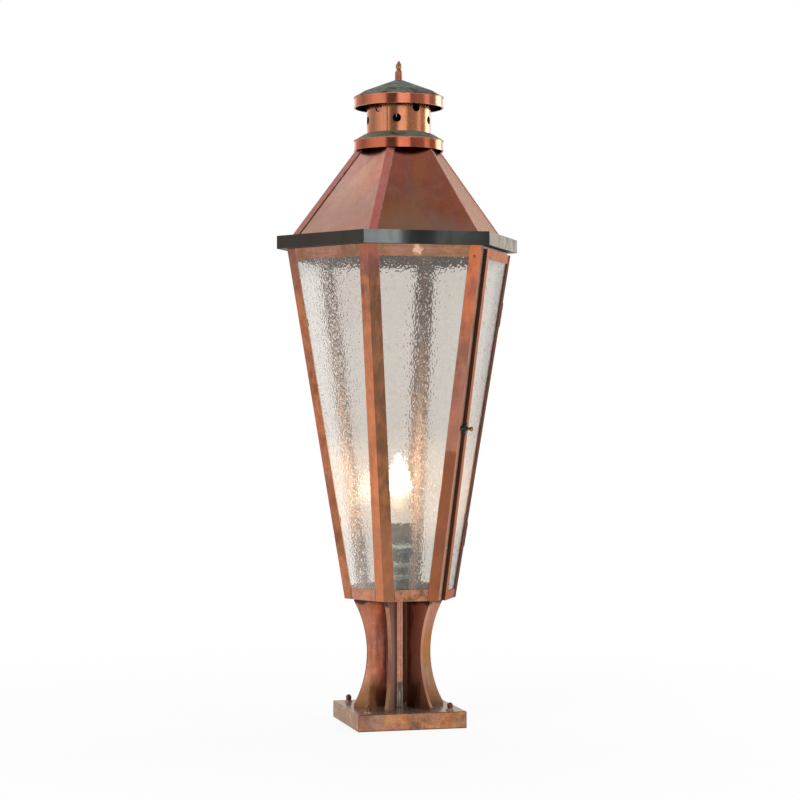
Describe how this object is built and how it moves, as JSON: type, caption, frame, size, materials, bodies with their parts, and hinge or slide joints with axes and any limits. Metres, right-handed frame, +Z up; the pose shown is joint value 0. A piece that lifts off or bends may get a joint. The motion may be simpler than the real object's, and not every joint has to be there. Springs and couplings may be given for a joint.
{
  "type": "pier mount light",
  "caption": "Tapered hexagonal copper lantern on a finned pedestal and square base, with clear panes, a hinged door, hipped roof and vented cap, for the top of a pier.",
  "frame": {"origin": "centre of the base's underside, where it meets the pier", "axes": "+Z up along the tube, -Y to the front pane, +X to the corner that carries the door's hinges"},
  "size_m": [0.3078, 0.2666, 0.8204],
  "materials": {
    "copper": "aged copper sheet, brown to pink",
    "cap_copper": "polished rim, green cone",
    "verdigris": "green patina over copper",
    "band_black": "blackened, satin",
    "steel": "zinc plated",
    "brass": "dull polish",
    "dark_bronze": "dark patina",
    "seedy_glass": "clear, seedy and rippled",
    "socket_black": "moulded, satin",
    "porcelain": "glazed",
    "bulb_metal": "nickel plated",
    "bulb_clear": "clear, lit from inside",
    "bulb_glow": "glowing",
    "insulation": "moulded sleeve"
  },
  "bodies": {
    "lantern": {"base_box": "copper", "floor_pan": "copper", "bottom_rails": "copper", "top_rails": "copper", "pane_clips": "copper", "post_hinge_leaves": "copper", "hip_strips": "copper", "chimney": "copper", "fin_0": "copper", "fin_1": "copper", "fin_2": "copper", "fin_3": "copper", "fin_4": "copper", "fin_5": "copper", "corner_post_0": "copper", "corner_post_1": "copper", "corner_post_2": "copper", "corner_post_3": "copper", "corner_post_4": "copper", "corner_post_5": "copper", "roof_panel_0": "copper", "roof_panel_1": "copper", "roof_panel_2": "copper", "roof_panel_3": "copper", "roof_panel_4": "copper", "roof_panel_5": "copper", "lower_cap": "cap_copper", "upper_cap": "cap_copper", "finial": "cap_copper", "tube": "verdigris", "socket_cup": "verdigris", "eave_band": "band_black", "mounting_plate": "steel", "base_studs": "steel", "tube_locknuts": "steel", "chimney_bridge": "steel", "cap_rod": "steel", "rod_nuts": "steel", "hinge_pins": "steel", "ball_nuts": "brass", "stud_washers": "brass", "socket_shell": "brass", "button_rivet": "dark_bronze", "pane_0": "seedy_glass", "pane_1": "seedy_glass", "pane_2": "seedy_glass", "pane_3": "seedy_glass", "pane_4": "seedy_glass", "socket_body": "socket_black", "socket_collar": "porcelain", "bulb_base": "bulb_metal", "bulb_glass": "bulb_clear", "bulb_filament": "bulb_glow", "lead_wires": "insulation"},
    "door": {"door_frame": "copper", "door_pane": "seedy_glass", "door_clips": "copper", "door_hinge_leaves": "copper", "door_knob": "brass"},
    "turn_button": {"turn_button": "dark_bronze"}
  },
  "joints": [
    {"name": "door_hinge", "type": "hinge", "parent": "lantern", "child": "door", "pos_m": [0.10786, 0, 0.369], "axis": [0.166, 0, 0.9861], "range_deg": [0, 115]},
    {"name": "turn_button_pivot", "type": "hinge", "parent": "lantern", "child": "turn_button", "pos_m": [0.05539, -0.08467, 0.36577], "axis": [0.857, -0.4948, -0.1442], "range_deg": [0, 90]}
  ]
}
